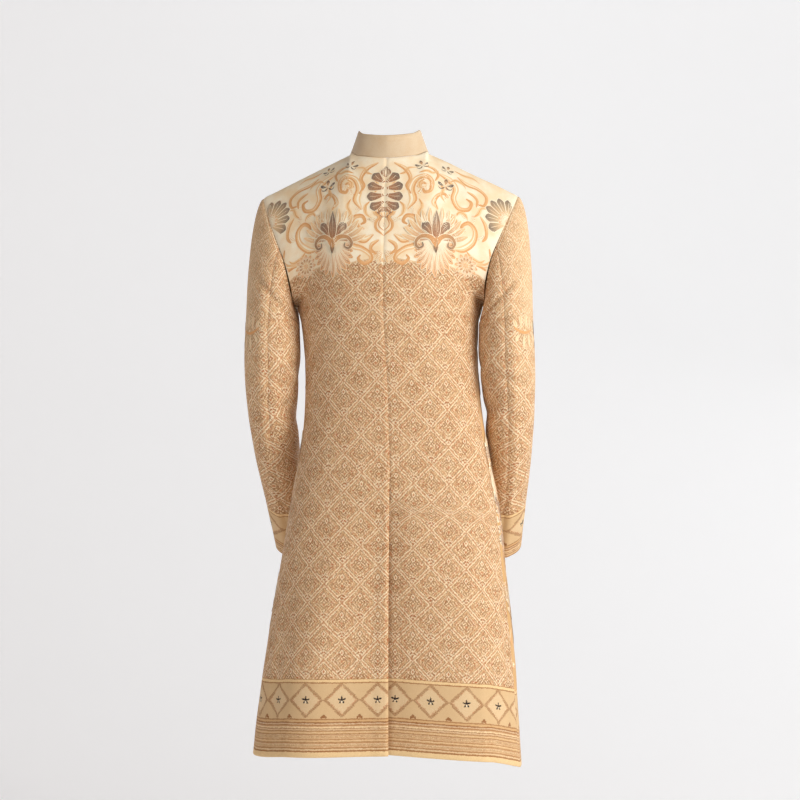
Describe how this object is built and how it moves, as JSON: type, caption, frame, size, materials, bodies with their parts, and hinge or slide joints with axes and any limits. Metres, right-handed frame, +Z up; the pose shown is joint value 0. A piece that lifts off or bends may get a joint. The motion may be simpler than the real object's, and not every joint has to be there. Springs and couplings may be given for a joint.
{
  "type": "sherwani coat",
  "caption": "Knee-length fitted sherwani coat in gold brocade, worn and empty, with a stand collar, long fitted sleeves, a centre-back vent, a patterned hem band and a buttoned front.",
  "frame": {"origin": "on the neck's axis inside the collar, level with the nape seam at centre back, where the wearer's neck and shoulders carry the coat", "axes": "+Z up along the standing wearer, -Y the way the wearer faces, +X towards the wearer's left hand"},
  "size_m": [0.5228, 0.3567, 1.1341],
  "materials": {
    "brocade": "woven gold, cream and rust brocade with a soft low sheen",
    "collar_cloth": "plain gold silk cloth with a soft sheen",
    "button_metal": "satin antique gold"
  },
  "bodies": {
    "root": {"back_left": "brocade", "back_right": "brocade", "front_left": "brocade", "front_right": "brocade", "top_sleeve_left": "brocade", "under_sleeve_left": "brocade", "top_sleeve_right": "brocade", "under_sleeve_right": "brocade", "collar": "collar_cloth", "button_1": "button_metal", "button_2": "button_metal", "button_3": "button_metal", "button_4": "button_metal", "button_5": "button_metal", "button_6": "button_metal", "button_7": "button_metal", "button_8": "button_metal"}
  },
  "joints": []
}
